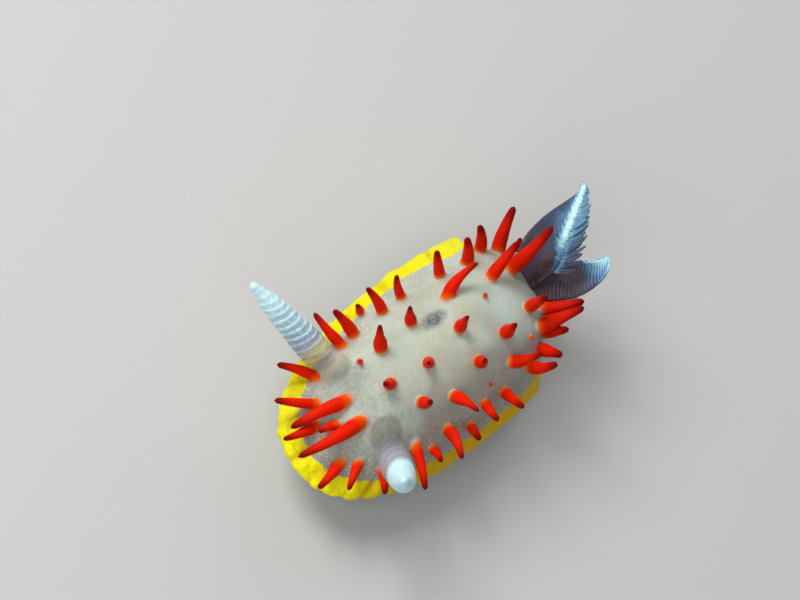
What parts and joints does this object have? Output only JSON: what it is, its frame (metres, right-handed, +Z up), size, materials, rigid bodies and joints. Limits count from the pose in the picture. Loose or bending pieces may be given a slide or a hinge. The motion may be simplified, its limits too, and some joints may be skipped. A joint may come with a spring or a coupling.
{
  "type": "diaphorodoris papillata nudibranch",
  "caption": "Still life-size sea slug with an oval mantle, yellow margin, red finger-like papillae, ringed rhinophores and feathery gills.",
  "frame": {"origin": "on the floor, at the middle of the sole under the middle of the back", "axes": "+Z up from the sole, -Y towards the head, +X towards the animal's left side"},
  "size_m": [0.0068, 0.0103, 0.0048],
  "materials": {
    "skin": "wet translucent white skin with red papillae",
    "margin": "wet opaque lemon-yellow border",
    "foot": "wet translucent white skin",
    "rhinophore": "wet bluish-white ringed feeler",
    "gill": "wet translucent slate-blue leaf with white tips"
  },
  "bodies": {
    "root": {"mantle": "skin", "margin_front": "margin", "margin_left": "margin", "margin_rear": "margin", "margin_right": "margin", "foot": "foot", "tail": "foot", "head": "foot", "rhinophore_right": "rhinophore", "rhinophore_left": "rhinophore", "gill_1": "gill", "gill_2": "gill", "gill_3": "gill", "gill_4": "gill", "gill_5": "gill"}
  },
  "joints": []
}
